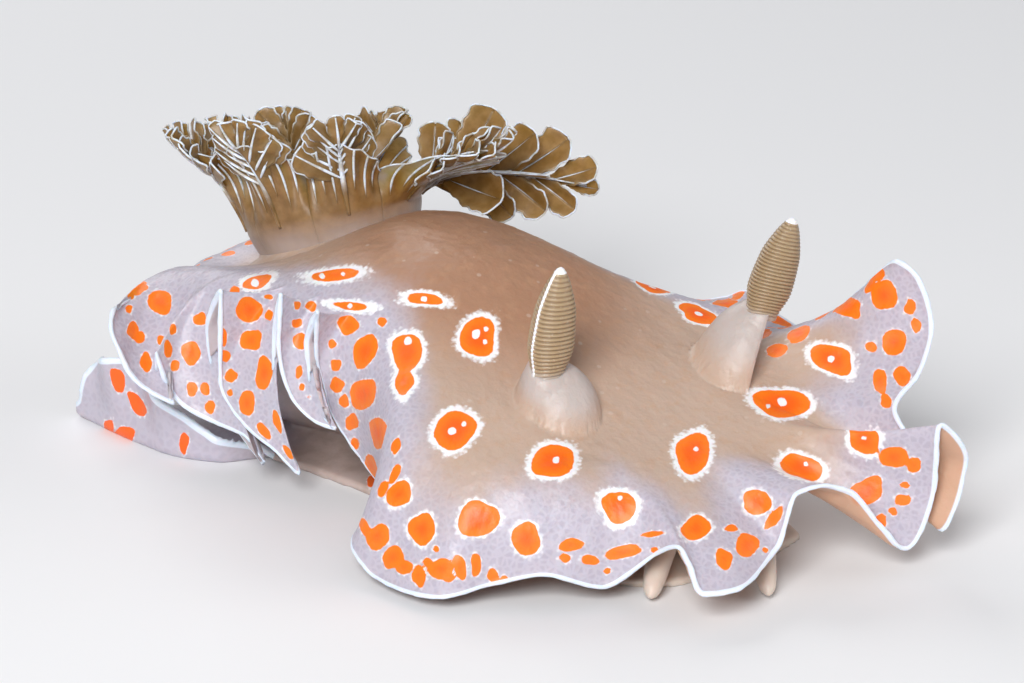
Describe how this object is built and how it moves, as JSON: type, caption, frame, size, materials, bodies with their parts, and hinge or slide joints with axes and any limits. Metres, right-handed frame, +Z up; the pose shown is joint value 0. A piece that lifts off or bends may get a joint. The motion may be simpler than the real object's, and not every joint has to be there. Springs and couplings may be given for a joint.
{
  "type": "sea slug model",
  "caption": "Crawling sea slug with a humped back, a ruffled mantle skirt, horn-like feelers in sheaths, a leafy gill crown on a cup, and a thin upturned tail.",
  "frame": {"origin": "on the flat sole of the foot, under the hump of the back and between the two flanks", "axes": "+Z up from the floor, -Y towards the head, -X towards the animal's right side"},
  "size_m": [0.0296, 0.0499, 0.0201],
  "materials": {
    "back_skin": "moist satin",
    "skirt_skin": "moist satin",
    "flank_skin": "moist satin",
    "head_skin": "moist satin",
    "foot_skin": "moist satin",
    "tentacle_skin": "moist satin",
    "rhinophore_skin": "moist satin",
    "sheath_skin": "moist satin",
    "gill_stalk_skin": "moist satin",
    "gill_skin": "moist satin"
  },
  "bodies": {
    "root": {"back": "back_skin", "mantle_skirt_front": "skirt_skin", "mantle_skirt_right": "skirt_skin", "mantle_skirt_right_rear": "skirt_skin", "mantle_skirt_left_rear": "skirt_skin", "mantle_skirt_left": "skirt_skin", "mantle_skirt_left_front": "skirt_skin", "body": "flank_skin", "head": "head_skin", "foot": "foot_skin", "tail": "foot_skin", "oral_tentacle_right": "tentacle_skin", "oral_tentacle_left": "tentacle_skin", "rhinophore_sheath_right": "sheath_skin", "rhinophore_sheath_left": "sheath_skin", "rhinophore_right": "rhinophore_skin", "rhinophore_left": "rhinophore_skin", "gill_base": "gill_stalk_skin", "gill_plume_1": "gill_skin", "gill_plume_2": "gill_skin", "gill_plume_3": "gill_skin", "gill_plume_4": "gill_skin", "gill_plume_5": "gill_skin", "gill_plume_6": "gill_skin", "gill_plume_7": "gill_skin", "gill_plume_8": "gill_skin", "gill_plume_9": "gill_skin"}
  },
  "joints": []
}
